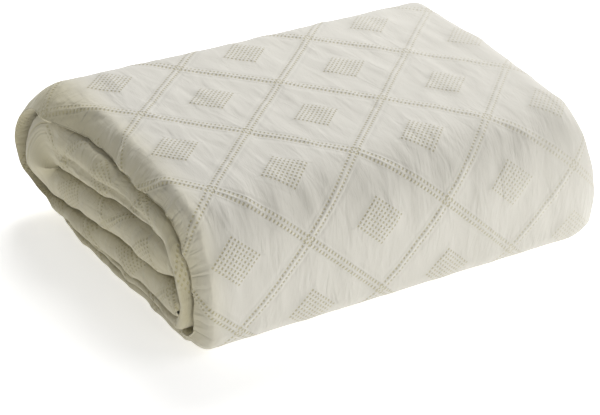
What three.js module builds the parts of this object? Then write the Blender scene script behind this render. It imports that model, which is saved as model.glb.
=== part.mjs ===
// A bedspread folded into a soft block, one piece of quilted cloth. Millimetres, +Z up, resting on its lowest ply.
// X runs from the end with the folded noses on view to the other end, Y from the front face to the back.
// The cloth is one ply folded up and down: the ply's path lies in the YZ plane, and round it goes a flat loop whose
// rounded ends are the noses seen at the left and right of the block.
import * as THREE from "three";

// Overall sizes of the block
const DEPTH = 398; // front face to back
const TOP_FRONT = 165; // height of the upper face, near the front
const TOP_MIDDLE = 169; // height of the upper face, half way back
const TOP_BACK = 167; // height of the upper face, near the back
const GAP = 2; // air between two plies that lie on one another

// Quilting: lines crossing as diamonds, with a small stitched diamond in each
const REPEAT_X = 177.4; // width of a diamond, point to point, along X
const REPEAT_RUN = 170; // length of a diamond, point to point, along the run of the cloth
const CELLS = 12; // grid cells in one repeat, both ways
const NODE_X = 76.6; // X of a column of crossings
const NODE_RUN = 236; // run of the cloth from the front roll's end backwards to a row of crossings
const RELIEF = [-3.4, 0.2, 1.2, 0.9, -1.1, -1.8, -1.8]; // height of the cloth from a line to the middle of a diamond
const LEVEL_ENOUGH = 0.3; // height difference below which a cell's two diagonals count as equally level
const RELIEF_FADE = 22; // run over which the relief dies out at the ends of the shaped area
const FLAT_END = 0.2; // part of that run without relief

// Heights of the meeting surfaces between plies, measured near the front, half way and near the back
const STATIONS = { front: 30, middle: 175, back: 330 };
const SURFACE_WAVES = [
  { share: 0.6, alongX: 95, alongY: 75, shift: 1.9 },
  { share: 0.4, alongX: 70, alongY: -110, shift: 2.7 },
];
const SURFACES = {
  floor: { front: 0, middle: 0, back: 0, wave: 0 },
  lowest: { front: 17, middle: 13, back: 9, wave: 0.6 },
  second: { front: 30, middle: 24, back: 18, wave: 0.8 },
  third: { front: 70, middle: 56, back: 33, wave: 2 },
  fourth: { front: 118, middle: 100, back: 74, wave: 2.4 },
  fifth: { front: 140, middle: 142, back: 138, wave: 2 },
  top: { front: TOP_FRONT, middle: TOP_MIDDLE, back: TOP_BACK, wave: 1 },
};

// Sides of the ply in each level: [surface, side of that surface the cloth lies on]
const LEVELS = {
  innerLower: { left: ["fourth", -1], right: ["third", 1] },
  innerUpper: { left: ["fourth", 1], right: ["fifth", -1] },
  secondLow: { left: ["second", -1], right: ["lowest", 1] },
  bottom: { left: ["floor", 0], right: ["lowest", -1] },
  upper: { left: ["top", 0], right: ["fifth", 1] },
  tuckedEnd: { left: ["second", 1], right: ["third", -1] },
};

// Rounded turns between levels, one row a side: where the side leaves its level, how far it reaches out and at what
// height (half way between the two levels where none is given), where it joins the next level, and how square its two
// quarters are (2 is an ellipse)
const TURNS = {
  backInner: {
    left: { from: 318, reach: 319, to: 318, power: [2, 2] },
    right: { from: 330, reach: 382, height: 68, to: 330, power: [2.3, 2.6] },
  },
  frontInner: {
    left: { from: 90, reach: 38, height: 50, to: 58, power: [2.4, 2.2] },
    right: { from: 96, reach: 29, height: 36, to: 52, power: [2.3, 2.3] },
  },
  backBottom: {
    left: { from: 302, reach: 324, to: 302, power: [2, 2] },
    right: { from: 302, reach: 303, to: 302, power: [2, 2] },
  },
  frontOuter: {
    left: { from: 34, reach: 0, height: 28, to: 90, power: [2.3, 2.3] },
    right: { from: 40, reach: 27, height: 30, to: 92, power: [2.3, 2.3] },
  },
  backOuter: {
    left: { from: 340, reach: DEPTH, height: 84, to: 320, power: [2.3, 2.3] },
    right: { from: 340, reach: 386, height: 84, to: 334, power: [2, 2.8] },
  },
};

// The path of the ply from hem to hem: each row is a level, a turn or a rounded hem, with the number of steps along it (0
// where the quilting's grid sets them), the X of the noses at its start, and half way where that stands out. A split is
// the place of a crease along the left nose, as a share of the way from the ply's right side to its left
const PATH = [
  { hem: "innerLower", at: 102, length: 50, steps: 3, noseLeft: 18, noseRight: 541 },
  { level: "innerLower", steps: 5, noseLeft: 12, noseRight: 545 },
  { turn: "backInner", steps: 7, noseLeft: -5, noseMiddle: [-18, 548], noseRight: 542 },
  { level: "innerUpper", steps: 6, split: 0.58, noseLeft: -4, noseRight: 545 },
  { turn: "frontInner", steps: 10, noseLeft: 16, noseMiddle: [19, 556], noseRight: 548 },
  { level: "secondLow", steps: 6, noseLeft: 17, noseRight: 540 },
  { turn: "backBottom", steps: 6, noseLeft: 1, noseRight: 545 },
  { level: "bottom", steps: 6, noseLeft: 0, noseRight: 547 },
  { turn: "frontOuter", steps: 0, noseLeft: 22, noseMiddle: [26, 567], noseRight: 543 },
  { level: "upper", steps: 0, noseLeft: 25, noseRight: 550 },
  { turn: "backOuter", steps: 0, noseLeft: -3, noseMiddle: [-17, 548], noseRight: 538 },
  { level: "tuckedEnd", steps: 6, noseLeft: -5, noseRight: 545 },
  { hem: "tuckedEnd", at: 62, length: 20, steps: 3, noseLeft: 15, noseRight: 542 },
];

// Noses: how far the cloth rounds over at each end of a ply
const NOSE_STEPS = 3; // steps from a side's edge to the tip of a nose
const NOSE_SHARE = 0.42; // rounding as a share of the ply's thickness
const NOSE_MOST = 15; // and at most
const WAVE_LENGTHS = [97, 41]; // along the run, of the noses' unevenness
const WAVE_SIZES = [2, 1.2];
const OTHER_NOSE_SHIFT = 2.1; // shift of the right nose's waves from the left one's, in radians
const HEM_START = 0.12; // where a hem's rounding begins, in half turns from its tip
const SPLIT_DEPTH = 7; // depth of the crease along a split nose
const SPLIT_STEPS = 4; // steps round each of its two bulges
const COARSE_COLUMNS = 5; // columns across a side that is hidden or plain
const FIRST_COLUMN = -2; // fine columns, in cells from the column of crossings
const LAST_COLUMN = 30;
const FINE_NOSE = 5; // steps from the outermost fine column to the tip
const OUTER_TIP = 0.28; // height of an outer ply's tip, as a share from its inner to its outer side
const SECTION_FILL = 0.9; // part of a loop's quarter that its places fill
const MIDDLE_X = 280; // where runs are measured
const RUN_SAMPLES = 400; // samples a row when a run is measured
const SLOPE_STEP = 0.004; // step along a row between the two points that give the cloth's slope

const mix = (a, b, t) => a + (b - a) * t;
const clamp = (v, lo, hi) => Math.min(hi, Math.max(lo, v));

/** Height of a meeting surface at (x, y): a smooth curve through its three heights, with a slow wave along X. */
function surfaceHeight(name, x, y) {
  const row = SURFACES[name];
  const { front, middle, back } = STATIONS;
  const v = clamp(y, front, back);
  const a = ((v - middle) * (v - back)) / ((front - middle) * (front - back));
  const b = ((v - front) * (v - back)) / ((middle - front) * (middle - back));
  const c = ((v - front) * (v - middle)) / ((back - front) * (back - middle));
  const seed = Object.keys(SURFACES).indexOf(name);
  const waves = SURFACE_WAVES.map((w) => w.share * Math.sin(x / w.alongX + y / w.alongY + seed * w.shift));
  return row.front * a + row.middle * b + row.back * c + row.wave * (waves[0] + waves[1]);
}

/** A side of the ply in a level: the point at (x, y) on the surface it lies against. */
function levelPoint(level, side, x, y) {
  const [name, direction] = LEVELS[level][side];
  return [y, surfaceHeight(name, x, y) + (direction * GAP) / 2];
}

/** A side of the ply in a turn, t from 0 to 1: two quarters of a rounded curve that meet at the turn's furthest reach. */
function turnPoint(turn, side, x, t, before, after) {
  const row = TURNS[turn][side];
  const start = levelPoint(before, side, x, row.from);
  const end = levelPoint(after, side, x, row.to);
  const height = row.height ?? (start[1] + end[1]) / 2;
  const angle = Math.min(t, 1 - t) * Math.PI;
  const [y, z] = t < 0.5 ? start : end;
  const power = row.power[t < 0.5 ? 0 : 1];
  const out = Math.sin(angle) ** (2 / power);
  const up = Math.max(0, Math.cos(angle)) ** (2 / power);
  return [mix(y, row.reach, out), mix(height, z, up)];
}

/** A side of the ply at a rounded hem, t from 0 (near the tip) to 1. */
function hemPoint(row, side, x, t) {
  const angle = mix(HEM_START, 0.5, t) * Math.PI;
  const y = row.at - row.length * Math.cos(angle);
  const own = levelPoint(row.hem, side, x, row.at)[1];
  const other = levelPoint(row.hem, side === "left" ? "right" : "left", x, row.at)[1];
  return [y, mix((own + other) / 2, own, Math.sin(angle))];
}

/** Where a level begins or ends on one side: at the turn or hem next to it. */
function levelLimit(row, side, end) {
  if (row.hem) return row.at;
  return TURNS[row.turn][side][end];
}

/** One side of the ply at a place on the path: row k, and t from 0 to 1 along it. */
function sidePoint(k, side, x, t) {
  const row = PATH[k];
  if (row.hem) return hemPoint(row, side, x, k === 0 ? t : 1 - t);
  if (row.turn) return turnPoint(row.turn, side, x, t, PATH[k - 1].level, PATH[k + 1].level);
  const y = mix(levelLimit(PATH[k - 1], side, "to"), levelLimit(PATH[k + 1], side, "from"), t);
  return levelPoint(row.level, side, x, y);
}

/** X of the two noses at a place on the path, uneven along the run. */
function noseReach(k, t, run) {
  const row = PATH[k];
  const next = PATH[Math.min(k + 1, PATH.length - 1)];
  const s = t * t * (3 - 2 * t);
  let left = mix(row.noseLeft, next.noseLeft, s);
  let right = mix(row.noseRight, next.noseRight, s);
  if (row.noseMiddle) {
    const hump = Math.sin(Math.PI * t) ** 2;
    left = mix(left, row.noseMiddle[0], hump);
    right = mix(right, row.noseMiddle[1], hump);
  }
  WAVE_LENGTHS.forEach((length, i) => {
    left += WAVE_SIZES[i] * Math.sin((2 * Math.PI * run) / length + i);
    right += WAVE_SIZES[i] * Math.sin((2 * Math.PI * run) / length + OTHER_NOSE_SHIFT + i);
  });
  return [left, right];
}

/** Relief of the quilting at grid place (i, j), in half repeats, read from RELIEF by the distance to the nearest line. */
function relief(i, j) {
  const toLine = (v) => Math.abs(v - Math.round(v - 0.5) - 0.5);
  const place = Math.min(toLine((i + j) / 2), toLine((i - j) / 2)) * 2 * (RELIEF.length - 1);
  const low = Math.min(RELIEF.length - 2, Math.floor(place + 1e-6));
  return mix(RELIEF[low], RELIEF[low + 1], place - low);
}

/** The outer side's run where the quilting is shaped, sampled closely. */
function shapedRun() {
  const samples = [];
  PATH.forEach((row, k) => {
    if (row.steps > 0) return;
    for (let n = 0; n <= RUN_SAMPLES; n += 1) {
      const [y, z] = sidePoint(k, "left", MIDDLE_X, n / RUN_SAMPLES);
      const last = samples[samples.length - 1];
      const run = last ? last.run + Math.hypot(y - last.y, z - last.z) : 0;
      samples.push({ k, t: n / RUN_SAMPLES, y, z, run });
    }
  });
  return samples;
}

/** Stations in the shaped area: one at each row of the quilting's grid. */
function shapedStations() {
  const samples = shapedRun();
  const length = samples[samples.length - 1].run;
  const rollEnd = samples.find((p) => PATH[p.k].level === "upper").run;
  const cell = REPEAT_RUN / CELLS;
  const origin = rollEnd + NODE_RUN;
  const stations = [];
  for (let m = Math.ceil((1 - origin) / cell); origin + m * cell < length - 1; m += 1) {
    const q = samples.findIndex((p) => p.run >= origin + m * cell);
    const [lo, hi] = [samples[q - 1], samples[q]];
    const share = (origin + m * cell - lo.run) / Math.max(hi.run - lo.run, 1e-9);
    const t = hi.k === lo.k ? mix(lo.t, hi.t, share) : hi.t;
    const toEnd = Math.min(origin + m * cell, length - origin - m * cell);
    stations.push({ k: hi.k, t, row: m, fade: clamp(toEnd / RELIEF_FADE - FLAT_END, 0, 1) });
  }
  return stations;
}

/** Stations along the whole path, each with its run along the middle of the ply and the ply's thickness there. */
function makeStations() {
  const shaped = shapedStations();
  const all = [];
  PATH.forEach((row, k) => {
    if (row.steps === 0) {
      all.push(...shaped.filter((s) => s.k === k));
      return;
    }
    const count = row.steps + (k === PATH.length - 1 ? 1 : 0);
    for (let n = 0; n < count; n += 1) all.push({ k, t: n / row.steps });
  });
  let run = 0;
  let last = null;
  all.forEach((s) => {
    const outer = sidePoint(s.k, "left", MIDDLE_X, s.t);
    const inner = sidePoint(s.k, "right", MIDDLE_X, s.t);
    const middle = [(outer[0] + inner[0]) / 2, (outer[1] + inner[1]) / 2];
    if (last) run += Math.hypot(middle[0] - last[0], middle[1] - last[1]);
    last = middle;
    s.run = run;
    s.thick = Math.hypot(outer[0] - inner[0], outer[1] - inner[1]);
  });
  return all;
}

/** A quarter of a nose: places from a side's edge (angle 0) to the tip (1), x and the share of the left side there. */
function noseQuarter(edgeX, tipX, edgeShare, tipShare, steps) {
  const places = [];
  for (let n = 0; n < steps; n += 1) {
    const angle = (n / steps) * 0.5 * Math.PI;
    places.push([mix(edgeX, tipX, Math.sin(angle)), mix(tipShare, edgeShare, Math.cos(angle))]);
  }
  return places;
}

/** Half of a nose with a crease along it: a bulge between two shares of the left side, set back at its ends. */
function noseBulge(tipX, fromShare, toShare, fromDepth, toDepth) {
  const places = [];
  for (let n = 1; n < SPLIT_STEPS; n += 1) {
    const t = n / SPLIT_STEPS;
    const depth = mix(fromDepth, toDepth, t) * (1 - Math.sin(Math.PI * t));
    places.push([tipX + depth, mix(fromShare, toShare, (1 - Math.cos(Math.PI * t)) / 2)]);
  }
  return places;
}

/** The loop round the ply at a station: [x, share of the left side, column of the quilting or null] in turn. */
function loopPlaces(station) {
  const [left, right] = noseReach(station.k, station.t, station.run);
  const round = Math.min(NOSE_MOST, NOSE_SHARE * station.thick);
  const shaped = station.row !== undefined;
  const cell = REPEAT_X / CELLS;
  const columns = [];
  if (shaped) {
    for (let m = FIRST_COLUMN; m <= LAST_COLUMN; m += 1) columns.push([NODE_X + m * cell, 1, m]);
  } else {
    for (let n = 0; n <= COARSE_COLUMNS; n += 1) {
      columns.push([mix(left + round, right - round, n / COARSE_COLUMNS), 1, null]);
    }
  }
  const under = [];
  for (let n = 0; n <= COARSE_COLUMNS; n += 1) {
    under.push([mix(right - round, left + round, n / COARSE_COLUMNS), 0, null]);
  }
  const tip = shaped ? OUTER_TIP : 0.5;
  const outerSteps = shaped ? FINE_NOSE : NOSE_STEPS;
  const firstX = columns[0][0];
  const lastX = columns[columns.length - 1][0];
  const rightOuter = noseQuarter(lastX, right, 1, tip, outerSteps).slice(1);
  const rightInner = noseQuarter(right - round, right, 0, tip, NOSE_STEPS).slice(1).reverse();
  const split = PATH[station.k].split;
  const leftNose = split
    ? [
        ...noseBulge(left, 0, split, round, SPLIT_DEPTH),
        [left + SPLIT_DEPTH, split],
        ...noseBulge(left, split, 1, SPLIT_DEPTH, round),
      ]
    : [
        ...noseQuarter(left + round, left, 0, tip, NOSE_STEPS).slice(1),
        [left, tip],
        ...noseQuarter(firstX, left, 1, tip, outerSteps).slice(1).reverse(),
      ];
  const sections = [
    columns,
    [...rightOuter, [right, tip], ...rightInner],
    under,
    leftNose,
  ];
  return sections.flatMap((places, n) =>
    places.map(([x, share, column], q) => {
      const inset = n % 2;
      const part = inset ? (q + 1) / (places.length + 1) : q / (places.length - 1);
      return { x, share, column: column ?? null, turn: n + clamp(part, 0, 1) * SECTION_FILL };
    }),
  );
}

/** Points of the loop at a station, with the quilting's relief on the shaped columns. */
function makeLoop(stations, n) {
  const station = stations[n];
  const along = [Math.max(0, station.t - SLOPE_STEP), Math.min(1, station.t + SLOPE_STEP)];
  return loopPlaces(station).map((place) => {
    const outer = sidePoint(station.k, "left", place.x, station.t);
    const inner = sidePoint(station.k, "right", place.x, station.t);
    let y = mix(inner[0], outer[0], place.share);
    let z = mix(inner[1], outer[1], place.share);
    let height = 0;
    if (station.row !== undefined && place.share > OUTER_TIP) {
      const i = (place.x - NODE_X) / (REPEAT_X / 2);
      const j = station.row / (CELLS / 2);
      height = relief(i, j) * station.fade * clamp((place.share - OUTER_TIP) / (1 - OUTER_TIP), 0, 1);
      const a = sidePoint(station.k, "left", place.x, along[0]);
      const b = sidePoint(station.k, "left", place.x, along[1]);
      const size = Math.hypot(b[0] - a[0], b[1] - a[1]) || 1;
      y -= (height * (b[1] - a[1])) / size;
      z += (height * (b[0] - a[0])) / size;
    }
    return { ...place, y, z, height };
  });
}

/** Triangles between two loops with the same places: each cell is cut along its more level, or lower, diagonal. */
function joinEqual(a, b, faces) {
  a.forEach((p, n) => {
    const m = (n + 1) % a.length;
    const [a0, a1, b0, b1] = [p, a[m], b[n], b[m]];
    const slope = Math.abs(a0.height - b1.height) - Math.abs(a1.height - b0.height);
    const lower = a0.height + b1.height < a1.height + b0.height;
    if (slope < -LEVEL_ENOUGH || (slope < LEVEL_ENOUGH && lower)) {
      faces.push([a0, b1, b0], [a0, a1, b1]);
    } else {
      faces.push([a0, a1, b0], [a1, b1, b0]);
    }
  });
}

/** Triangles between two loops with different places, advancing on whichever loop lags behind. */
function joinUneven(a, b, faces) {
  let i = 0;
  let j = 0;
  const turnOf = (loop, n) => loop[n % loop.length].turn + (n >= loop.length ? 4 : 0);
  while (i < a.length || j < b.length) {
    const [p, q] = [a[i % a.length], b[j % b.length]];
    if (j >= b.length || (i < a.length && turnOf(a, i + 1) <= turnOf(b, j + 1))) {
      faces.push([q, p, a[(i + 1) % a.length]]);
      i += 1;
    } else {
      faces.push([q, p, b[(j + 1) % b.length]]);
      j += 1;
    }
  }
}

/** Triangles closing the narrow loop at a hem, as a ladder between its two sides. */
function closeHem(loop, first, faces) {
  const half = loop.length / 2;
  const start = COARSE_COLUMNS + 1 + NOSE_STEPS - 1;
  const at = (n) => loop[(start + n + loop.length) % loop.length];
  const push = (a, b, c) => faces.push(first ? [a, b, c] : [c, b, a]);
  for (let n = 0; n < half; n += 1) {
    const [u0, u1, v0, v1] = [at(-n), at(-n - 1), at(n), at(n + 1)];
    if (n > 0) push(u0, u1, v0);
    if (n < half - 1) push(u1, v1, v0);
  }
}

function buildSolid() {
  const stations = makeStations();
  const loops = stations.map((s, n) => makeLoop(stations, n));
  const faces = [];
  for (let n = 0; n + 1 < loops.length; n += 1) {
    const join = loops[n].length === loops[n + 1].length ? joinEqual : joinUneven;
    join(loops[n], loops[n + 1], faces);
  }
  closeHem(loops[0], true, faces);
  closeHem(loops[loops.length - 1], false, faces);
  const points = loops.flat();
  points.forEach((p, n) => {
    p.index = n;
  });
  const lowest = (key) => points.reduce((v, p) => Math.min(v, p[key]), Infinity);
  const highest = (key) => points.reduce((v, p) => Math.max(v, p[key]), -Infinity);
  const centre = { x: (lowest("x") + highest("x")) / 2, y: (lowest("y") + highest("y")) / 2 };
  const geometry = new THREE.BufferGeometry();
  const positions = points.flatMap((p) => [p.x - centre.x, p.y - centre.y, p.z]);
  geometry.setAttribute("position", new THREE.Float32BufferAttribute(positions, 3));
  geometry.setIndex(faces.flatMap((face) => face.map((p) => p.index)));
  geometry.computeVertexNormals();
  return geometry;
}

const cloth = new THREE.MeshStandardMaterial({ color: 0xe9e6da, roughness: 0.95, metalness: 0 });
const bedspread = new THREE.Mesh(buildSolid(), cloth);
bedspread.name = "bedspread";

const part = new THREE.Group();
part.name = "folded_bedspread";
part.add(bedspread);

export default part;
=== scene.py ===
"""A quilted bedspread folded into a soft block, as one sheet of cloth on the folds of its solid.

The cloth is folded in four across and then up and down in six plies. Sizes are in millimetres on the block,
whose corner is the origin, and go to metres round the block's centre when a mesh is made.
"""
import math

import bpy
import numpy as np
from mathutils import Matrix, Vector


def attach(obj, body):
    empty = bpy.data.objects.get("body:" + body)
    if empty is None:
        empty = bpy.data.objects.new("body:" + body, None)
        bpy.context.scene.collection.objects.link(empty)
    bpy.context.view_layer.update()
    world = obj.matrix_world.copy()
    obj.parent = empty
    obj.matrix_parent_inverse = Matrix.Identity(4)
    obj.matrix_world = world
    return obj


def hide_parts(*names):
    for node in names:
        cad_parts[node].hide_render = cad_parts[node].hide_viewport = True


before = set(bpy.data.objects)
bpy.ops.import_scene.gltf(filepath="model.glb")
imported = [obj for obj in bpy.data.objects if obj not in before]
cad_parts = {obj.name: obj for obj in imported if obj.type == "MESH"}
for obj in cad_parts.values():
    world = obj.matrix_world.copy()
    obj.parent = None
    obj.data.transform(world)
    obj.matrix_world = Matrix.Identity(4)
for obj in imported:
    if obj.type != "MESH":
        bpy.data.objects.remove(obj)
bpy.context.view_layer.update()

# Overall sizes of the folded block
CENTRE = (274.45, 199.02)  # middle of the block, on the floor
DEPTH = 398  # front face to back
GAP = 2  # air between two plies that lie on one another
PER_METRE = 1000  # millimetres

# Quilting: lines crossing as diamonds, with a small stitched diamond in each
REPEAT_X = 177.4  # width of a diamond, point to point, along X
REPEAT_RUN = 170  # length of a diamond, point to point, along the run of the cloth
NODE_X = 76.6  # X of a column of crossings
NODE_ROW = 9  # row of the path that begins where the front roll ends
NODE_RUN = 236  # run of the cloth from there backwards to a row of crossings
SIDE = 122.8  # side of a diamond, and the distance between two lines
PITS = 26  # stitch pits along a side
LOZENGE = 20.5  # half the side of the small diamond

# Relief of the quilting, raised in the mesh
PILLOW = 1.5  # how far the cloth puffs up between the lines
PILLOW_RISE = 7  # distance from a line in which it reaches about two thirds of that
PILLOW_SOFT = 6  # softness of its corners
GROOVE = 0.6  # how far a line lies under its edges
GROOVE_HALF = 6.5  # half the width of that groove
SUNK = 2.3  # how far a small diamond lies under the cloth round it
SUNK_FROM = 5  # its slope begins this far outside the small diamond
SUNK_SLOPE = 8  # and is this wide
# Unevenness of the cloth: height, width, length, run in which it leans over by its width, and seed
CRUMPLES = ((0.9, 21, 47, math.inf, 3), (0.7, 10, 31, 60, 4))
NOISE_TABLE = 64  # random values a side before the unevenness repeats
# Where the relief is less: axis, from, to, and what is left of it
CALM = ((1, 330, 360, 0.4), (0, 495, 520, 0.4))
LOW = (40, 0.15)  # it also fades under this height, to this share
END_RUN = 22  # and near the outer ply's two ends, over this run
END_FLAT = 0.1  # with none over this share of that run
INNER_RELIEF = 0.65  # share of the relief on the noses of the other plies

# Heights of the surfaces where two plies meet: near the front, half way, near the back, and the size of
# their wave
STATIONS = (30, 175, 330)
SURFACES = {
    "floor": (0, 0, 0, 0),
    "lowest": (17, 13, 9, 0.6),
    "second": (30, 24, 18, 0.8),
    "third": (70, 56, 33, 2),
    "fourth": (118, 100, 74, 2.4),
    "fifth": (140, 142, 138, 2),
    "top": (165, 169, 167, 1),
}
SURFACE_WAVES = ((0.6, 95, 75, 1.9), (0.4, 70, -110, 2.7))  # share, length along X, along Y, shift

# Sides of the ply in each level: surface, and the side of that surface the cloth lies on
LEVELS = {
    "inner_lower": {"left": ("fourth", -1), "right": ("third", 1)},
    "inner_upper": {"left": ("fourth", 1), "right": ("fifth", -1)},
    "second_low": {"left": ("second", -1), "right": ("lowest", 1)},
    "bottom": {"left": ("floor", 0), "right": ("lowest", -1)},
    "upper": {"left": ("top", 0), "right": ("fifth", 1)},
    "tucked_end": {"left": ("second", 1), "right": ("third", -1)},
}

# Rounded turns between levels: where a side leaves its level, how far it reaches, at what height (None is
# half way), where it joins the next level, and how square its two quarters are
TURNS = {
    "back_inner": {"left": (318, 319, None, 318, 2, 2), "right": (330, 382, 68, 330, 2.3, 2.6)},
    "front_inner": {"left": (90, 38, 50, 58, 2.4, 2.2), "right": (96, 29, 36, 52, 2.3, 2.3)},
    "back_bottom": {"left": (302, 324, None, 302, 2, 2), "right": (302, 303, None, 302, 2, 2)},
    "front_outer": {"left": (34, 0, 28, 90, 2.3, 2.3), "right": (40, 27, 30, 92, 2.3, 2.3)},
    "back_outer": {"left": (340, DEPTH, 84, 320, 2.3, 2.3), "right": (340, 386, 84, 334, 2, 2.8)},
}
FROM, TO = 0, 3  # places in a turn's row where it leaves a level and joins the next

# The path of the ply from hem to hem: kind, name, X of the left nose at its start, of the right nose, and
# of both half way where they stand out
PATH = [
    ("hem", "inner_lower", 22, 541, None),
    ("level", "inner_lower", 12, 545, None),
    ("turn", "back_inner", -5, 542, (-18, 548)),
    ("level", "inner_upper", -4, 545, None),
    ("turn", "front_inner", 18, 548, (20, 556)),
    ("level", "second_low", 22, 540, None),
    ("turn", "back_bottom", 8, 545, None),
    ("level", "bottom", 8, 547, None),
    ("turn", "front_outer", 28, 543, (33, 567)),
    ("level", "upper", 27, 550, (23, 551)),
    ("turn", "back_outer", -9, 538, (-20, 548)),
    ("level", "tucked_end", -5, 545, None),
    ("hem", "tucked_end", 17, 542, None),
]
HEMS = {0: (94, 48), 12: (56, 22)}  # where a hem's rounding begins, and its length
HEM_START = 0.12  # where a hem's rounding ends, in half turns from its tip

# Noses
NOSE_SHARE = 0.42  # rounding of a nose as a share of the ply's thickness
NOSE_MOST = 15  # and at most this
NOSE_WAVES = ((97, 1.1), (41, 0.6))  # length along the run and size of a nose's unevenness
OUTER_ROWS = (8, 10)  # first and last row of the outer ply
OUTER_WAVES = 0.6  # share of that unevenness on the outer ply
OTHER_NOSE_SHIFT = 2.1  # shift of the waves at the right nose
FIRST_X, LAST_X = 47.0, 520.1  # the outer ply is level between these, and rounds over beyond
OUTER_TIP = 0.9  # depth of the outer ply's tip, as a share of its thickness
INNER_TIP = 0.5  # and of the others' tips
SLOPE = 17  # the outer ply's nose slopes down over this width
SLOPE_SHARE = 0.6  # and at most over this share of what isn't level
SLOPE_CELLS = 0.6  # share of the nose's cells on that slope
SOFT = 1.1  # softness of the corner above it, as a share of its width
MIDDLE_X = 280  # where runs are measured
# A left nose with a crease along it: its row of the path, the crease's height as a share of the ply, its
# depth, its narrowness as a share of the ply, and how soon it is full, in parts of the row
SPLIT = (3, 0.58, 7, 0.09, 5)

# The four leaves of the cloth in a ply. Depths are shares of the ply's thickness from its left side
SECOND, THIRD = 0.375, 0.625  # middles of the second and third leaf
CROWN = 0.3  # where the fold at the right stands out most
CURL = 10  # the cloth curls in by this behind it
CURL_BACK = 12  # and its back face by this
INNER_NOSES = (9, 15)  # the inner leaves' nose stands back by this, in the inner plies and in the outer one
INNER_ROUND = 6  # rounding of that nose
LOWER_HEM_BACK, UPPER_HEM_BACK = 2, 4  # how far the hems stand back from the right nose
HEM_BULGE = 2  # rounding of a hem

# Cloth and its grid
CLOTH = 5.0  # thickness of the quilted cloth
CLOTH_SHARE = 0.2  # and at most this share of its ply, which holds four layers
FINE_CELL = 3.6  # cell of the outer ply's grid
COARSE_CELL = 7.5  # rows of the other plies
GRIDS = ((0, 7, False), (*OUTER_ROWS, True), (11, 12, False))  # first and last row, and whether it is fine
SAMPLES = 240  # samples a row of the path when runs are measured
TINY = 1e-9  # keeps runs rising and lengths above nothing
JUST_PAST = 1e-6  # makes a station on the end of a row count to the next
# Places in each segment of the cloth's outline, in the inner plies and in the outer one
COUNTS = (
    (10, 10),  # good face: from the lower hem to the left nose
    (9, 9),  # round its lower quarter
    (9, 22),  # its upper quarter, which is a slope in the outer ply
    (12, round((LAST_X - FIRST_X) / FINE_CELL)),  # the level
    (7, 12),  # over the right nose
    (6, 6),  # in behind it
    (8, 8),  # back to the inner nose
    (5, 5),  # round it
    (9, 9),  # out to the upper hem
    (3, 3),  # round the upper hem
    (7, 7),  # back face: to the inner nose
    (6, 6),  # round it
    (7, 7),  # out to the fold at the right
    (5, 5),  # round it
    (9, 40),  # the level
    (6, 12),  # down the left nose's upper quarter
    (6, 6),  # its lower quarter
    (8, 8),  # back to the lower hem
    (3, 3),  # round the lower hem
)
LEVEL, UPPER_HEM, LOWER_HEM = 3, 9, 18  # numbers of segments, which are the places where they begin
NOSE = (1, 3)  # places from which and before which the left nose lies
RAISED = (1, 6)  # and the outer ply's relief
HEM_PLACES = np.array([0.0, 0.33, 0.67])  # shares of a hem's rounding

# Material. A ramp is written as the inputs of its node: 1 and 2 are the values it runs between, 3 and 4
# what they become
# the ivory cloth, then painted shade: a warmer, darker ivory for the shaded left noses, and a darker tan for
# the shade in the stitch pits
CLOTH_COLOUR, PAINTED_END_SHADE_COLOUR, PAINTED_PIT_SHADE_COLOUR = "#D6D3CA", "#C8C1A5", "#AA9C4C"
DENTS = ({1: -0.7, 2: 0.7}, {1: -0.35, 2: 0.85})  # cosine to depth of a pit, in the diamond's two directions
ROW_OFF = 3.2  # each row of pits lies this far from its line
ROW_RAMPS = ({1: 0.6, 2: 2.6, 3: 1.0, 4: 0.0}, {1: 0.3, 2: 1.8, 3: 1.0, 4: 0.0})  # across a row of pits
THREAD_RAMP = {1: 1.4, 2: 3.0, 3: 0.0, 4: 1.0}  # the raised thread begins this far from a row
BAND_RAMP = {1: 5.8, 2: 8.2, 3: 1.0, 4: 0.0}  # and ends this far from its line
LOZENGE_RAMP = {1: LOZENGE - 1, 2: LOZENGE + 1, 3: 1.0, 4: 0.0}  # edge of the small diamond's grid of pits
PIT_HEIGHT = -0.75  # heights are in millimetres
THREAD_HEIGHT = 0.28
LINE_SWELL = ({1: 4.5, 2: 13.0}, 1.1)  # swelling cloth beside a line: distance and height
LOZENGE_SWELL = ({1: LOZENGE - 1, 2: LOZENGE + 6}, 0.9)  # and round a small diamond
NOSE_FADE = {1: -5.0, 2: 34.0, 3: 0.7, 4: 1.0}  # U where the stitching is drawn flatter round the left nose
RIGHT_FADE = {1: 260.0, 2: 540.0, 3: 1.0, 4: 0.45}  # and towards the right end
PAINTED_PIT_SHADE_RAMP = {1: 0.1, 2: 0.8, 3: 0.0, 4: 0.46}  # depth of a pit to the share of the painted shade in it
PATCH_SCALE = 0.016  # crinkles come in patches of about 60 mm
PATCH_RAMP = {1: 0.35, 2: 0.65, 3: 0.35, 4: 1.1}  # share of the crinkles in and between them
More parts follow.
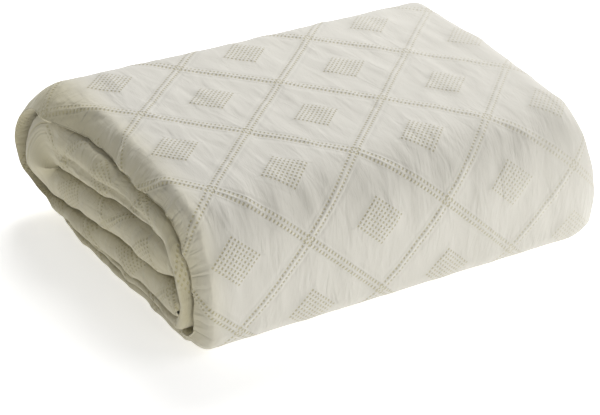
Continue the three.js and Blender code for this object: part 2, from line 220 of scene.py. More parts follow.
# Crinkles along the run: width, length, turn, distortion, and height on top and on the front face
CRINKLES = ((15, 60, 0.10, 0.8, 1.8, 2.6), (5.6, 34, -0.2, 0.8, 0.16, 1.0))
FRONT_RAMP = {1: -310.0, 2: -190.0, 3: 1.0, 4: 0.0}  # V of the front face
NOSE_CRINKLES = (30, 9, 0.15, 0.6)  # across the left noses: size along U and V, turn, distortion
NOSE_CRINKLE_HEIGHT = {1: 25.0, 2: 62.0, 3: 3.0, 4: 0.0}  # from U
SLUB, SLUB_HEIGHT = (1.3, 6.0), 0.16  # slubs of the weave: width and length, and height
SLUB_ROUGHNESS = {1: 0.3, 2: 0.7, 3: 0.97, 4: 0.86}  # thick threads are a little smoother
PAINTED_END_SHADE_MIDDLE = -12.0  # U in the middle of the painted shade on the left noses, a warmer, darker ivory
PAINTED_END_SHADE_RAMP = {1: 16.0, 2: 90.0, 3: 1.0, 4: 0.0}  # distance from there to the share of that painted shade
SHEEN, SHEEN_ROUGHNESS = 0.25, 0.6  # of loose cotton fibres
COTTON_IOR = 1.46

# Camera at the picture's viewing angle: its place in the block's millimetres, its turns in degrees, its lens
# and sensor in millimetres, and how far it sees in metres
CAMERA_AT = (-621.5, -1255.4, 1106.9)
CAMERA_TURNS = (57.314, -2.311, -29.894)
FOCAL, SENSOR, FARTHEST = 100.95, 36, 50

# Light: place, point it faces, side, watts and colour, in metres
LIGHTS = {
    "key": ((0.85, 1.5, 1.8), (0, 0, 0.05), 1.1, 46, "#FFFFFF"),
    "fill": ((0.1, -2.3, 1.2), (0, 0, 0.1), 1.8, 15, "#FFFDF2"),
    "side": ((2.1, -1.1, 1.2), (0.3, 0, 0.1), 1.6, 24, "#FDFDFF"),
}
WORLD_LIGHT = 0.24
FLOOR_GLOW = 0.48
FLOOR_HALF = 8  # half a side of the floor


def mix(a, b, t):
    """Goes evenly from a to b as t goes from 0 to 1."""
    return a + (b - a) * t


def surface_height(name, x, y):
    """Height of a meeting surface: the parabola in y through its three heights, plus two slow sine waves."""
    front, middle, back, wave = SURFACES[name]
    a, b, c = STATIONS
    v = np.clip(y, a, c)
    curve = front * (v - b) * (v - c) / ((a - b) * (a - c))
    curve = curve + middle * (v - a) * (v - c) / ((b - a) * (b - c))
    curve = curve + back * (v - a) * (v - b) / ((c - a) * (c - b))
    seed = list(SURFACES).index(name)
    for share, across, along, shift in SURFACE_WAVES:
        curve = curve + wave * share * np.sin(x / across + y / along + seed * shift)
    return curve


def level_height(level, side, x, y):
    """Height of one side of a ply in its level: the meeting surface, half an air gap away."""
    name, direction = LEVELS[level][side]
    return surface_height(name, x, y) + direction * GAP / 2


def turn_side(k, side, x, t):
    """One side of a turn: two quarters of a superellipse, from the level before out to the reach and back
    to the next level."""
    start, reach, height, end, power_in, power_out = TURNS[PATH[k][1]][side]
    z_start = level_height(PATH[k - 1][1], side, x, start)
    z_end = level_height(PATH[k + 1][1], side, x, end)
    height = (z_start + z_end) / 2 if height is None else height
    first = t < 0.5
    power = np.where(first, power_in, power_out)
    angle = np.minimum(t, 1 - t) * np.pi
    out = np.sin(angle) ** (2 / power)
    up = np.maximum(np.cos(angle), 0) ** (2 / power)
    return mix(np.where(first, start, end), reach, out), mix(height, np.where(first, z_start, z_end), up)


def hem_side(k, side, x, t):
    """One side of a tapering hem: a quarter ellipse that ends half way between the ply's two sides."""
    at, length = HEMS[k]
    other = "right" if side == "left" else "left"
    angle = mix(HEM_START, 0.5, t if k == 0 else 1 - t) * np.pi
    own = level_height(PATH[k][1], side, x, at)
    middle = (own + level_height(PATH[k][1], other, x, at)) / 2
    return at - length * np.cos(angle) + 0 * x, mix(middle, own, np.sin(angle))


def limit(k, side, place):
    """Where a level begins or ends on one side, at the turn or hem beside it."""
    kind, name = PATH[k][:2]
    return HEMS[k][0] if kind == "hem" else TURNS[name][side][place]


def side_points(k, side, x, t):
    """Y and Z of one side of the ply in row k of the path, at X x and at t from 0 to 1 along the row."""
    kind, name = PATH[k][:2]
    if kind == "hem":
        return hem_side(k, side, x, t)
    if kind == "turn":
        return turn_side(k, side, x, t)
    y = mix(limit(k - 1, side, TO), limit(k + 1, side, FROM), t) + 0 * x
    return y, level_height(name, side, x, y)


def measure_path():
    """Runs along the path, sampled closely at MIDDLE_X by adding up steps: row, t, and the run along the
    left side and along the middle."""
    t = np.linspace(0, 1, SAMPLES)
    rows, sides = [], []
    for k in range(len(PATH)):
        left = np.stack(side_points(k, "left", np.full(SAMPLES, float(MIDDLE_X)), t), -1)
        right = np.stack(side_points(k, "right", np.full(SAMPLES, float(MIDDLE_X)), t), -1)
        rows.append(np.stack([np.full(SAMPLES, k), t], -1))
        sides.append(np.stack([left, (left + right) / 2], 1))
    rows, sides = np.concatenate(rows), np.concatenate(sides)
    steps = np.linalg.norm(np.diff(sides, axis=0), axis=-1)
    runs = np.concatenate([np.zeros((1, 2)), np.cumsum(steps, axis=0)])
    return rows[:, 0], rows[:, 1], runs[:, 0], runs[:, 1]


def place_stations(path, first, last, cell, along):
    """Stations evenly spaced along the rows first to last of the path: row, t, left run and middle run."""
    k, t, left, middle = path
    inside = np.flatnonzero((k >= first) & (k <= last))
    run = (left, middle)[along][inside]
    count = int(round((run[-1] - run[0]) / cell))
    at = np.linspace(run[0], run[-1], count + 1)
    rising = run + np.arange(len(run)) * TINY
    row = k[inside][np.clip(np.searchsorted(rising, at + JUST_PAST) - 1, 0, len(inside) - 1)]
    share = np.clip(np.interp(at, rising, k[inside] + t[inside]) - row, 0, 1)
    return row.astype(int), share, np.interp(at, rising, left[inside]), np.interp(at, rising, middle[inside])


def nose_reach(k, t, run):
    """X of the left and right noses: eased between the rows' own places, with a hump half way where they
    stand out there, and sine waves along the run."""
    left, right = (np.array([row[n] for row in PATH] + [PATH[-1][n]]) for n in (2, 3))
    ease = t * t * (3 - 2 * t)
    hump = np.sin(np.pi * t) ** 2
    share = np.where((k >= OUTER_ROWS[0]) & (k <= OUTER_ROWS[1]), OUTER_WAVES, 1)
    noses = []
    for n, ends in enumerate((left, right)):
        x = mix(ends[k].astype(float), ends[k + 1], ease)
        middle = np.array([row[4][n] if row[4] else np.nan for row in PATH])[k]
        x = np.where(np.isnan(middle), x, mix(x, np.nan_to_num(middle), hump))
        for i, (length, size) in enumerate(NOSE_WAVES):
            x = x + share * size * np.sin(2 * np.pi * run / length + n * OTHER_NOSE_SHIFT + i)
        noses.append(x)
    return noses


def quarter(share):
    """Cosine and sine of a share of a quarter turn."""
    return np.cos(share * np.pi / 2), np.sin(share * np.pi / 2)


def section(stations, fine):
    """The closed outline of the cloth in a cut across the ply, at each station.

    It runs from the lower hem at the right along the right side of the ply to the left nose, round it and
    back along the left side, round the crease at the right, inside to a second nose at the left and out
    again to the upper hem, and then the same way back on the cloth's other face. Gives X, the depth in the
    ply as a share of its thickness from its left side, and the place along the outline.
    """
    k, t, _, middle_run = stations
    left, right = (v[:, None] for v in nose_reach(k, t, middle_run))
    thick = ply_thickness(k, t)[:, None]
    one = np.ones_like(left)
    sheet = np.minimum(CLOTH, CLOTH_SHARE * thick)
    cloth = sheet / thick
    half = cloth / 2
    edge = np.minimum(NOSE_MOST, NOSE_SHARE * thick)
    tip = (OUTER_TIP if fine else INNER_TIP) * one
    start = FIRST_X * one if fine else left + edge
    stop = LAST_X * one if fine else right - edge
    split_row, split_height, split_depth, narrow, soon = SPLIT
    crease = split_depth * np.clip(np.minimum(t, 1 - t) * soon, 0, 1)[:, None] * (k == split_row)[:, None]

    def nose_x(depth, inset):
        """X of the right nose's outline at a depth: quarter ellipses above and below its tip."""
        above = np.sqrt(np.clip(1 - ((tip - depth) / tip) ** 2, 0, 1))
        below = np.sqrt(np.clip(1 - ((depth - tip) / (1 - tip)) ** 2, 0, 1))
        return np.where(depth < tip, mix(stop, right, above), mix(right - edge, right, below)) - inset

    def creased(x, depth):
        """Sets back a nose round its crease: a narrow bell in the depth."""
        return x + crease * np.exp(-(((depth - (1 - split_height)) / narrow) ** 2))

    def sloping(s):
        """X and depth along the outer nose from its tip: an even slope that eases into the level, as a
        hyperbola does into the line that touches it."""
        slope = np.minimum(SLOPE, SLOPE_SHARE * (start - left))
        end = 1 - (start - left) / slope
        along = np.where(s < SLOPE_CELLS, 1 - s / SLOPE_CELLS, end * (s - SLOPE_CELLS) / (1 - SLOPE_CELLS))
        root = np.sqrt(end * end + SOFT * SOFT)

        def eased(v):
            """Height of the hyperbola over the line that touches it at its end."""
            return v + np.sqrt(v * v + SOFT * SOFT) - end - root - (1 + end / root) * (v - end)

        return left + slope * (1 - along), tip * eased(along) / eased(1)

    parts = []

    def span():
        """Shares along the next segment, from 0 to just under 1."""
        count = COUNTS[len(parts)][fine]
        return np.arange(count) / count

    def put(share, x, depth):
        """Adds the next segment of the outline: its places, X and depth."""
        shape = np.broadcast(x, depth).shape
        parts.append((len(parts) + share, np.broadcast_to(x, shape), np.broadcast_to(depth, shape)))

    fold_depth = SECOND + half
    fold = nose_x(CROWN * one, 0)
    back_fold = nose_x(CROWN * one, CURL_BACK)
    inside = left + sheet + INNER_NOSES[fine] + INNER_ROUND
    lower_hem = nose_x(1 - half, LOWER_HEM_BACK)
    upper_hem = nose_x(THIRD * one, UPPER_HEM_BACK)

    # the good face, as COUNTS names its segments
    s = span()
    put(s, mix(lower_hem, left + edge, s), one)
    s = span()
    cosine, sine = quarter(s)
    depth = mix(tip, one, cosine)
    put(s, creased(mix(left + edge, left, sine), depth), depth)
    s = span()
    cosine, sine = quarter(s)
    depth = mix(tip, 0 * one, sine)
    put(s, *(sloping(s) if fine else (creased(mix(start, left, cosine), depth), depth)))
    s = span()
    put(s, mix(start, stop, s), 0 * one)
    s = span()
    depth = CROWN * one * (1 - quarter(s)[0])
    put(s, nose_x(depth, 0), depth)
    s = span()
    cosine, sine = quarter(s)
    put(s, fold - CURL * (1 - cosine), mix(CROWN, fold_depth, sine))
    s = span()
    put(s, mix(fold - CURL, inside, s), fold_depth)
    s = span()
    put(s, inside - INNER_ROUND * np.sin(s * np.pi), mix(fold_depth, THIRD - half, s))
    s = span()
    put(s, mix(inside, upper_hem, s), THIRD - half)
    s = HEM_PLACES
    put(s, upper_hem + HEM_BULGE * np.sin(s * np.pi), mix(THIRD - half, THIRD + half, s))
    # the back face
    s = span()
    put(s, mix(upper_hem, inside, s), THIRD + half)
    s = span()
    put(s, inside - (INNER_ROUND + sheet) * np.sin(s * np.pi), mix(THIRD + half, SECOND - half, s))
    s = span()
    put(s, mix(inside, back_fold, s), SECOND - half)
    s = span()
    put(s, back_fold + (CURL_BACK - sheet) * np.sin(s * np.pi), mix(SECOND - half, cloth, s))
    s = span()
    put(s, mix(back_fold, start, s), cloth)
    s = span()
    if fine:
        x, depth = sloping(1 - s)
        # the sheet's thickness is taken off over the first third
        put(s, x + sheet * np.clip(3 * s, 0, 1), cloth + depth * (1 - cloth / tip))
    else:
        cosine, sine = quarter(s)
        put(s, mix(start, left + sheet + crease, sine), mix(tip, cloth, cosine))
    s = span()
    cosine, sine = quarter(s)
    put(s, mix(left + edge + sheet, left + sheet + crease, cosine), mix(tip, 1 - cloth, sine))
    s = span()
    put(s, mix(left + edge + sheet, lower_hem, s), 1 - cloth)
    s = HEM_PLACES
    put(s, lower_hem + HEM_BULGE * np.sin(s * np.pi), mix(1 - cloth, one, s))
    place, x, depth = zip(*parts)
    return np.concatenate(x, 1), np.concatenate(depth, 1), np.concatenate(place)


def ply_thickness(k, t):
    """Thickness of the ply at each station, measured at MIDDLE_X between its two sides."""
    thick = np.zeros(len(k))
    for row in np.unique(k):
        on = k == row
        x = np.full(on.sum(), float(MIDDLE_X))
        a, b = side_points(row, "left", x, t[on]), side_points(row, "right", x, t[on])
        thick[on] = np.hypot(a[0] - b[0], a[1] - b[1])
    return thick


def lay_section(stations, x, depth):
    """Points of the outlines: X as given, and Y and Z mixed between the ply's two sides by the depth."""
    k, t = stations[:2]
    points = np.zeros(x.shape + (3,))
    points[..., 0] = x
    for row in np.unique(k):
        on = k == row
        a = side_points(row, "left", x[on], t[on][:, None])
        b = side_points(row, "right", x[on], t[on][:, None])
        points[on, :, 1] = mix(a[0], b[0], depth[on])
        points[on, :, 2] = mix(a[1], b[1], depth[on])
    return points


def cloth_places(points, place, run, origin):
    """U and V of each point on the flat cloth: the length along the outline, which is X where the outer
    side is level, and the run along the path from a row of crossings. The back face takes those of the good
    face under it."""
    face = place < UPPER_HEM
    steps = np.linalg.norm(np.diff(points[:, face], axis=1), axis=-1)
    u = np.concatenate([np.zeros((len(run), 1)), np.cumsum(steps, axis=1)], 1)
    anchor = np.flatnonzero(place[face] == LEVEL)[0]
    u = u - u[:, anchor : anchor + 1] + points[:, anchor, :1]
    over = np.where(place > UPPER_HEM + 1, LOWER_HEM - place, UPPER_HEM)
    matched = np.stack([np.interp(np.where(face, place, over), place[face], row) for row in u])
    return np.stack([matched, np.repeat((run - origin)[:, None], len(place), 1)], -1)


def value_noise(u, v, seed):
    """Smooth random hills and hollows, -1 to 1: random values at whole numbers, eased between them."""
    side = NOISE_TABLE
    table = np.random.default_rng(seed).uniform(-1, 1, (side, side))
    iu, iv = np.floor(u).astype(int), np.floor(v).astype(int)
    fu, fv = u - iu, v - iv
    fu, fv = fu * fu * (3 - 2 * fu), fv * fv * (3 - 2 * fv)
    a = mix(table[iu % side, iv % side], table[(iu + 1) % side, iv % side], fu)
    b = mix(table[iu % side, (iv + 1) % side], table[(iu + 1) % side, (iv + 1) % side], fu)
    return mix(a, b, fv)


def quilting(u, v):
    """Height of the quilted cloth, from distances across the diamond's two directions.

    The pillow rises from the lines as one less an exponential of the distance, a soft least of the two. The
    groove along each line is a flat bell. The small diamond is sunk, with an eased slope round it.
    """
    i, j = (u - NODE_X) / (REPEAT_X / 2), v / (REPEAT_RUN / 2)
    a, b = (i + j) / 2, (i - j) / 2
    from_middle = np.stack([np.abs(a - np.round(a)), np.abs(b - np.round(b))]) * SIDE
    to_line = SIDE / 2 - from_middle
    soft = -PILLOW_SOFT * np.log(np.sum(np.exp(-to_line / PILLOW_SOFT), axis=0))
    pillow = PILLOW * (1 - np.exp(-np.clip(soft, 0, None) / PILLOW_RISE))
    groove = GROOVE * np.exp(-((np.min(to_line, axis=0) / GROOVE_HALF) ** 4))
    inside = np.clip((LOZENGE + SUNK_FROM - np.max(from_middle, axis=0)) / SUNK_SLOPE, 0, 1)
    return pillow - groove - SUNK * inside * inside * (3 - 2 * inside)


# Main creases of the outer ply: U and V of both ends, width and depth (less than 0 is a ridge)
CREASES = [
    # wrapped over the nose at the left
    (8, -30, 44, -58, 5.5, 1.5),
    (10, -46, 46, -76, 5, -1.3),
    (8, -116, 62, -86, 6, 1.8),
    (10, -129, 58, -110, 4.5, -1.4),
    (8, -148, 60, -120, 5.5, 1.7),
    (10, -166, 64, -148, 6, 1.6),
    (9, -198, 58, -182, 5, -1.3),
    (10, -222, 52, -214, 6, 1.4),
    # over the front edge and down the front roll
    (14, -238, 30, -268, 5, 1.0),
    (12, -255, 26, -290, 5, -0.9),
    (36, -256, 34, -300, 4.5, 0.9),
    (50, -274, 41, -332, 5, 0.9),
    (66, -276, 57, -326, 4.5, -0.8),
    (80, -266, 79, -318, 5, 0.9),
    (112, -262, 106, -300, 6, 0.7),
    (124, -280, 119, -328, 4.5, -0.8),
    (141, -276, 140, -330, 5, 0.9),
    (176, -262, 180, -332, 6, 1.0),
    (194, -250, 200, -300, 5, -0.7),
    (213, -312, 216, -380, 4.5, -0.7),
    (230, -290, 240, -336, 5, 0.9),
    (272, -286, 274, -374, 6, 0.9),
    (300, -284, 296, -366, 4.5, -0.8),
    (333, -330, 342, -384, 5, 0.8),
    (375, -322, 381, -370, 5, -0.7),
    (402, -280, 408, -330, 6, 0.7),
    (438, -300, 436, -366, 5, 0.8),
    (484, -322, 489, -388, 5, 0.8),
    # wide soft ones on top
    (250, -184, 256, -120, 11, -1.2),
    (388, -70, 402, -120, 12, -1.2),
    (268, -118, 254, -80, 10, 1.0),
    (232, -12, 214, 24, 10, 1.0),
    (356, -128, 418, -98, 9, 1.0),
    (452, -138, 446, -202, 10, -1.1),
    (130, -96, 116, -58, 10, 0.9),
    (168, -190, 186, -228, 11, 1.1),
    (92, -214, 118, -182, 9, -0.9),
    (318, -232, 332, -190, 10, 0.9),
    (470, -40, 488, -92, 10, 1.0),
]


def creases(u, v):
    """Height of the main creases: each a straight trough, a bell across it and a parabola along it."""
    total = np.zeros_like(u)
    for u0, v0, u1, v1, width, deep in CREASES:
        length = math.hypot(u1 - u0, v1 - v0)
        along = ((u - u0) * (u1 - u0) + (v - v0) * (v1 - v0)) / length**2
        across = ((u - u0) * (v1 - v0) - (v - v0) * (u1 - u0)) / length
        ends = np.clip(1 - (2 * along - 1) ** 2, 0, 1)
        total -= deep * ends * np.exp(-((across / width) ** 2))
    return total


def crumple(u, v):
    """Small unevenness of the cloth: hills and hollows drawn out along the run, in two sizes added up."""
    noises = []
    for height, width, length, lean, seed in CRUMPLES:
        noises.append(height * value_noise(u / width + v / lean, v / length, seed))
    return sum(noises)


def raise_points(points, height):
    """Moves each point out by its height, along the cross product of the steps along and across."""
    along, across = np.gradient(points, axis=0), np.gradient(points, axis=1)
    out = np.cross(along, across)
    out /= np.maximum(np.linalg.norm(out, axis=-1, keepdims=True), TINY)
    return points + out * height[..., None]


def ladder(a, b, place_a, place_b):
    """Triangles between two rows of points, stepping along whichever row lags behind in place."""
    order = np.argsort(np.concatenate([place_a[1:], place_b[1:]]), kind="stable")
    on_a = order < len(place_a) - 1
    i, j = np.cumsum(on_a) - on_a, np.cumsum(~on_a) - ~on_a
    third = np.where(on_a, a[np.minimum(i + 1, len(a) - 1)], b[np.minimum(j + 1, len(b) - 1)])
    faces = np.stack([a[i], b[j], third], -1)
    distinct = (faces[:, 0] != faces[:, 1]) & (faces[:, 1] != faces[:, 2]) & (faces[:, 0] != faces[:, 2])
    return faces[distinct]


def close_end(row, place):
    """Triangles that close the sheet's end: a ladder between the good face and the back face of its
    outline, from the middle of the lower hem. The hem's points have places under 0, and the back face
    counts downwards."""
    lower = np.flatnonzero(place >= LOWER_HEM)
    upper = np.flatnonzero((place >= UPPER_HEM) & (place < UPPER_HEM + 1))
    front = np.concatenate([[lower[1], lower[2]], np.arange(upper[0] + 2)])
    back = np.concatenate([[lower[1], lower[0]], np.arange(lower[0] - 1, upper[1] - 1, -1)])
    front_at = np.concatenate([[-2, -1], place[front[2:]]])
    back_at = np.concatenate([[-2, -1], LOWER_HEM + 1 - place[back[2:]]])
    return ladder(row[front], row[back], np.maximum.accumulate(front_at), np.maximum.accumulate(back_at))


def relief_share(points, place, run, fine):
    """Share of the relief at each point. On the outer ply it is whole, and grows evenly from none at the
    ply's two ends, and fades evenly near the floor and in the calm areas. On the others it is the same all
    over the noses."""
    first, beyond = RAISED if fine else NOSE
    share = np.where((place >= first) & (place < beyond), 1.0 if fine else INNER_RELIEF, 0.0)
    share = np.repeat(share[None], len(points), 0)
    if fine:
        to_end = np.minimum(run - run[0], run[-1] - run)
        share = share * np.clip(to_end / END_RUN - END_FLAT, 0, 1)[:, None]
        share = share * np.clip(points[..., 2] / LOW[0], LOW[1], 1)
        for axis, near, far, left_over in CALM:
            share = share * mix(1, left_over, np.clip((points[..., axis] - near) / (far - near), 0, 1))
    return share


def make_cloth():
    """The whole sheet: three grids of outlines, joined by ladders, with the relief raised where it shows.
    Gives its points, its triangles, and the U and V of its points."""
    path = measure_path()
    origin = path[2][np.flatnonzero(path[0] == NODE_ROW)[0]] + NODE_RUN
    blocks, offset = [], 0
    for first, last, fine in GRIDS:
        stations = place_stations(path, first, last, FINE_CELL if fine else COARSE_CELL, 0 if fine else 1)
        if not fine:
            # the station next to the fine grid is left to that grid
            trim = slice(0, -1) if first == 0 else slice(1, None)
            stations = [s[trim] for s in stations]
        x, depth, place = section(stations, fine)
        points = lay_section(stations, x, depth)
        cloth = cloth_places(points, place, stations[2], origin)
        u, v = cloth[..., 0], cloth[..., 1]
        height = quilting(u, v) + creases(u, v) + crumple(u, v)
        height = height * relief_share(points, place, stations[2], fine)
        face = place < UPPER_HEM
        points[:, face] = raise_points(points[:, face], height[:, face])
        index = offset + np.arange(points.shape[0] * points.shape[1]).reshape(points.shape[:2])
        offset += index.size
        blocks.append((points, cloth, index, place))
    faces = []
    for points, cloth, index, place in blocks:
        a, b = index[:-1], index[1:]
        quads = np.stack([a, np.roll(a, -1, 1), np.roll(b, -1, 1), b], -1).reshape(-1, 4)
        faces.append(np.concatenate([quads[:, [0, 1, 2]], quads[:, [0, 2, 3]]]))
    for one, two in zip(blocks, blocks[1:]):
        a, b = one[2][-1], two[2][0]
        at_a, at_b = np.append(one[3], LOWER_HEM + 1.0), np.append(two[3], LOWER_HEM + 1.0)
        faces.append(ladder(np.append(a, a[0]), np.append(b, b[0]), at_a, at_b)[:, [1, 0, 2]])
    faces.append(close_end(blocks[0][2][0], blocks[0][3]))
    faces.append(close_end(blocks[-1][2][-1], blocks[-1][3])[:, ::-1])
    points = np.concatenate([b[0].reshape(-1, 3) for b in blocks])
    cloth = np.concatenate([b[1].reshape(-1, 2) for b in blocks])
    return points, np.concatenate(faces), cloth


def make_mesh(name, points, faces, cloth):
    """A smooth mesh object of triangles, in metres round the block's centre, with the cloth's U and V in
    millimetres. The faces are turned outward where the volume, a sum of triple products, is less than 0."""
    points = (points - [*CENTRE, 0]) / PER_METRE
    a, b, c = (points[faces[:, n]] for n in range(3))
    if np.sum(a * np.cross(b, c)) < 0:
        faces = faces[:, ::-1]
    mesh = bpy.data.meshes.new(name)
    mesh.vertices.add(len(points))
    mesh.vertices.foreach_set("co", points.ravel())
    mesh.loops.add(faces.size)
    mesh.loops.foreach_set("vertex_index", faces.ravel())
    mesh.polygons.add(len(faces))
    mesh.polygons.foreach_set("loop_start", np.arange(0, faces.size, 3))
    mesh.update(calc_edges=True)
    layer = mesh.uv_layers.new(name="cloth")
    layer.data.foreach_set("uv", cloth[faces.ravel()].ravel())
    mesh.shade_smooth()
    piece = bpy.data.objects.new(name, mesh)
    bpy.context.scene.collection.objects.link(piece)
    return piece


def linear(text):
    """An sRGB hex colour as linear red, green, blue and alpha, by the sRGB curve."""
    values = [int(text[n : n + 2], 16) / 255 for n in (1, 3, 5)]
    return tuple(v / 12.92 if v <= 0.04045 else ((v + 0.055) / 1.055) ** 2.4 for v in values) + (1.0,)


def add(tree, kind, settings, links):
    """Adds a node, sets its attributes, and gives each input a value or another node's output."""
    made = tree.nodes.new(kind)
    for key, value in settings.items():
        setattr(made, key, value)
    for key, value in links.items():
        socket = made.inputs[key]
        if isinstance(value, bpy.types.NodeSocket):
            tree.links.new(value, socket)
        else:
            socket.default_value = value
    return made


def stitched_cotton():
    """Matt ivory cotton, woven double and stitched through.

    Loose plain cotton scatters light evenly and has a faint sheen at grazing angles. The stitching pulls
    small pits in two rows along each line and as a grid in each small diamond, with the thread raised
    between them, and the pits are painted a darker, warm tan for the shade that falls in them. The cloth
    round them crinkles along the run. The folded noses at the left end are painted a warmer, darker ivory
    for the shade and warm bounce light that fall there.
    """
    material = bpy.data.materials.new("stitched_ivory_cotton")
    material.use_nodes = True
    tree = material.node_tree
    tree.nodes.clear()
    maths, vectors, ramp = "ShaderNodeMath", "ShaderNodeVectorMath", "ShaderNodeMapRange"
    smooth = {"interpolation_type": "SMOOTHSTEP"}
    names = "MULTIPLY MULTIPLY_ADD ADD SUBTRACT MAXIMUM MINIMUM ABSOLUTE SCALE FRACTION COSINE"
    operations = ({"operation": name} for name in names.split())
    times, times_plus, plus, minus, most, least, unsigned, scale, fraction, cosine = operations
    half = (0.5, 0.5, 0.5)
    place = add(tree, "ShaderNodeUVMap", {"uv_map": "cloth"}, {}).outputs[0]
    u, v = add(tree, "ShaderNodeSeparateXYZ", {}, {0: place}).outputs[:2]
    # the place in diamonds, along the diamond's two directions
    i = add(tree, maths, times_plus, {0: u, 1: 1 / REPEAT_X, 2: -NODE_X / REPEAT_X}).outputs[0]
    j = add(tree, maths, times, {0: v, 1: 1 / REPEAT_RUN}).outputs[0]
    a = add(tree, maths, plus, {0: i, 1: j}).outputs[0]
    b = add(tree, maths, minus, {0: i, 1: j}).outputs[0]
    ab = add(tree, "ShaderNodeCombineXYZ", {}, {0: a, 1: b}).outputs[0]
    # distance from the diamond's middle in both directions, in millimetres
    part = add(tree, vectors, plus, {0: ab, 1: half}).outputs[0]
    part = add(tree, vectors, fraction, {0: part}).outputs[0]
    part = add(tree, vectors, minus, {0: part, 1: half}).outputs[0]
    part = add(tree, vectors, unsigned, {0: part}).outputs[0]
    part = add(tree, vectors, scale, {0: part, "Scale": SIDE}).outputs[0]
    middle = add(tree, "ShaderNodeSeparateXYZ", {}, {0: part}).outputs
    # pits: cosines along both directions, at the stitch's pitch, eased so that each pit is longer one way
    turns = add(tree, vectors, scale, {0: ab, "Scale": 2 * math.pi * PITS}).outputs[0]
    waves = add(tree, vectors, cosine, {0: turns}).outputs[0]
    waves = add(tree, "ShaderNodeSeparateXYZ", {}, {0: waves}).outputs
    dents = [add(tree, ramp, smooth, {0: waves[n], **DENTS[n]}).outputs[0] for n in (0, 1)]
    farther = add(tree, maths, most, {0: middle[0], 1: middle[1]}).outputs[0]
    lozenge = add(tree, ramp, smooth, {0: farther, **LOZENGE_RAMP}).outputs[0]
    grid = add(tree, maths, times, {0: dents[0], 1: dents[1]}).outputs[0]
    pit = add(tree, maths, times, {0: grid, 1: lozenge}).outputs[0]
    # two rows of pits along each line, with the thread raised beside them
    lines, threads = [], []
    for n in (0, 1):
        to_line = add(tree, maths, minus, {0: SIDE / 2, 1: middle[n]}).outputs[0]
        off = add(tree, maths, minus, {0: to_line, 1: ROW_OFF}).outputs[0]
        off = add(tree, maths, unsigned, {0: off}).outputs[0]
        row = add(tree, ramp, smooth, {0: off, **ROW_RAMPS[n]}).outputs[0]
        row = add(tree, maths, times, {0: row, 1: dents[1 - n]}).outputs[0]
        pit = add(tree, maths, most, {0: pit, 1: row}).outputs[0]
        thread = add(tree, ramp, smooth, {0: off, **THREAD_RAMP}).outputs[0]
        band = add(tree, ramp, smooth, {0: to_line, **BAND_RAMP}).outputs[0]
        threads.append(add(tree, maths, times, {0: thread, 1: band}).outputs[0])
        lines.append(to_line)
    ridge = add(tree, maths, most, {0: threads[0], 1: threads[1]}).outputs[0]
    near = add(tree, maths, least, {0: lines[0], 1: lines[1]}).outputs[0]
    # on the folded noses and towards the right end the stitching is drawn flatter
    flat = add(tree, ramp, smooth, {0: u, **NOSE_FADE}).outputs[0]
    far = add(tree, ramp, smooth, {0: u, **RIGHT_FADE}).outputs[0]
    flat = add(tree, maths, times, {0: flat, 1: far}).outputs[0]
    height = add(tree, maths, times, {0: pit, 1: PIT_HEIGHT}).outputs[0]
    height = add(tree, maths, times_plus, {0: ridge, 1: THREAD_HEIGHT, 2: height}).outputs[0]
    # the cloth swells just beyond each line and each small diamond
    for off, (rise, size) in ((near, LINE_SWELL), (farther, LOZENGE_SWELL)):
        swell = add(tree, ramp, smooth, {0: off, **rise}).outputs[0]
        height = add(tree, maths, times_plus, {0: swell, 1: size, 2: height}).outputs[0]
    height = add(tree, maths, times, {0: height, 1: flat}).outputs[0]
    # crinkles: in patches along the run, of other heights on the front face, and across the folded noses
    patch = {"Vector": place, "Scale": PATCH_SCALE, "Detail": 1.0}
    patch = add(tree, "ShaderNodeTexNoise", {}, patch).outputs[0]
    patch = add(tree, ramp, {}, {0: patch, **PATCH_RAMP}).outputs[0]
    front = add(tree, ramp, smooth, {0: v, **FRONT_RAMP}).outputs[0]
    layers = []
    for *form, on_top, on_front in CRINKLES:
        size = add(tree, ramp, {}, {0: front, 3: on_top, 4: on_front}).outputs[0]
        layers.append((form, add(tree, maths, times, {0: size, 1: patch}).outputs[0]))
    layers.append((NOSE_CRINKLES, add(tree, ramp, smooth, {0: u, **NOSE_CRINKLE_HEIGHT}).outputs[0]))
    for (width, length, turn, distortion), size in layers:
        scaled = {0: place, 2: (0, 0, turn), 3: (width, length, 1.0)}
        scaled = add(tree, "ShaderNodeMapping", {"vector_type": "TEXTURE"}, scaled).outputs[0]
        noise = {"Vector": scaled, "Scale": 1.0, "Detail": 1.5, "Roughness": 0.5, "Distortion": distortion}
        noise = add(tree, "ShaderNodeTexNoise", {}, noise).outputs[0]
        height = add(tree, maths, times_plus, {0: noise, 1: size, 2: height}).outputs[0]
    # slubs of the weave, drawn coarser than the real threads so that they show
    scaled = {0: place, 3: (*SLUB, 1.0)}
    scaled = add(tree, "ShaderNodeMapping", {"vector_type": "TEXTURE"}, scaled).outputs[0]
    slub = add(tree, "ShaderNodeTexNoise", {}, {"Vector": scaled, "Scale": 1.0, "Detail": 1.0}).outputs[0]
    height = add(tree, maths, times_plus, {0: slub, 1: SLUB_HEIGHT, 2: height}).outputs[0]
    rough = add(tree, ramp, {}, {0: slub, **SLUB_ROUGHNESS}).outputs[0]
    bump = {"Strength": 1.0, "Distance": 1 / PER_METRE, "Height": height}
    bump = add(tree, "ShaderNodeBump", {}, bump).outputs[0]
    # painted shade: the folded noses at the left end get a warmer, darker ivory for the shade and warm
    # bounce light that fall there, and the pits a darker tan for the shade in them
    end = add(tree, maths, minus, {0: u, 1: PAINTED_END_SHADE_MIDDLE}).outputs[0]
    end = add(tree, maths, unsigned, {0: end}).outputs[0]
    end = add(tree, ramp, smooth, {0: end, **PAINTED_END_SHADE_RAMP}).outputs[0]
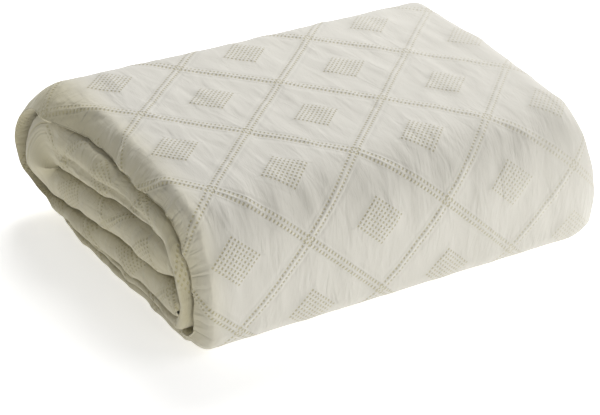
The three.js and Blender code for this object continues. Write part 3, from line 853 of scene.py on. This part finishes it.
    # painted shade in the pits: more of the darker tan where a pit is deeper, faded like the stitching on
    # the noses and to the right
    painted_pit_shade = add(tree, ramp, smooth, {0: pit, **PAINTED_PIT_SHADE_RAMP}).outputs[0]
    painted_pit_shade = add(tree, maths, times, {0: painted_pit_shade, 1: flat}).outputs[0]
    colour = linear(CLOTH_COLOUR)
    for share, other in ((end, PAINTED_END_SHADE_COLOUR), (painted_pit_shade, PAINTED_PIT_SHADE_COLOUR)):
        colour = {0: share, 6: colour, 7: linear(other)}
        colour = add(tree, "ShaderNodeMix", {"data_type": "RGBA"}, colour).outputs[2]
    surface = {"Base Color": colour, "Roughness": rough, "Normal": bump, "IOR": COTTON_IOR}
    surface.update({"Sheen Weight": SHEEN, "Sheen Roughness": SHEEN_ROUGHNESS})
    surface = add(tree, "ShaderNodeBsdfPrincipled", {}, surface)
    add(tree, "ShaderNodeOutputMaterial", {}, {0: surface.outputs[0]})
    return material


def pale_floor():
    """White studio board lit from below: no gloss, and bright enough to show only the soft shadow on it."""
    material = bpy.data.materials.new("white_studio_board")
    material.use_nodes = True
    surface = material.node_tree.nodes["Principled BSDF"]
    surface.inputs["Base Color"].default_value = linear("#FAFAFA")
    surface.inputs["Roughness"].default_value = 1.0
    surface.inputs["Specular IOR Level"].default_value = 0.0
    surface.inputs["Emission Color"].default_value = linear("#FFFFFF")
    surface.inputs["Emission Strength"].default_value = FLOOR_GLOW
    return material


def make_light(name, at, towards, size, power, colour):
    """A soft square light that faces the given point."""
    lamp = bpy.data.lights.new(name, "AREA")
    lamp.size = size
    lamp.energy = power
    lamp.color = linear(colour)[:3]
    holder = bpy.data.objects.new(name, lamp)
    holder.location = at
    holder.rotation_euler = (Vector(towards) - Vector(at)).to_track_quat("-Z", "Y").to_euler()
    bpy.context.scene.collection.objects.link(holder)


# The camera
lens = bpy.data.cameras.new("camera")
lens.lens = FOCAL
lens.sensor_width = SENSOR
lens.clip_end = FARTHEST
camera = bpy.data.objects.new("camera", lens)
camera.location = [(at - middle) / PER_METRE for at, middle in zip(CAMERA_AT, (*CENTRE, 0))]
camera.rotation_euler = [math.radians(turn) for turn in CAMERA_TURNS]
bpy.context.scene.collection.objects.link(camera)
bpy.context.scene.camera = camera

# The bedspread
bedspread = make_mesh("folded_bedspread", *make_cloth())
bedspread.data.materials.append(stitched_cotton())
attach(bedspread, "root")
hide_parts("bedspread")

# Floor, light and background
board = bpy.data.meshes.new("floor")
corners = [(x * FLOOR_HALF, y * FLOOR_HALF, 0) for x, y in ((-1, -1), (1, -1), (1, 1), (-1, 1))]
board.from_pydata(corners, [], [(0, 1, 2, 3)])
board.materials.append(pale_floor())
floor = bpy.data.objects.new("floor", board)
bpy.context.scene.collection.objects.link(floor)

for name, values in LIGHTS.items():
    make_light(name, *values)
world = bpy.data.worlds.new("studio")
world.use_nodes = True
background = world.node_tree.nodes["Background"]
background.inputs["Color"].default_value = linear("#FFFFFF")
background.inputs["Strength"].default_value = WORLD_LIGHT
bpy.context.scene.world = world
bpy.context.scene.view_settings.view_transform = "Standard"
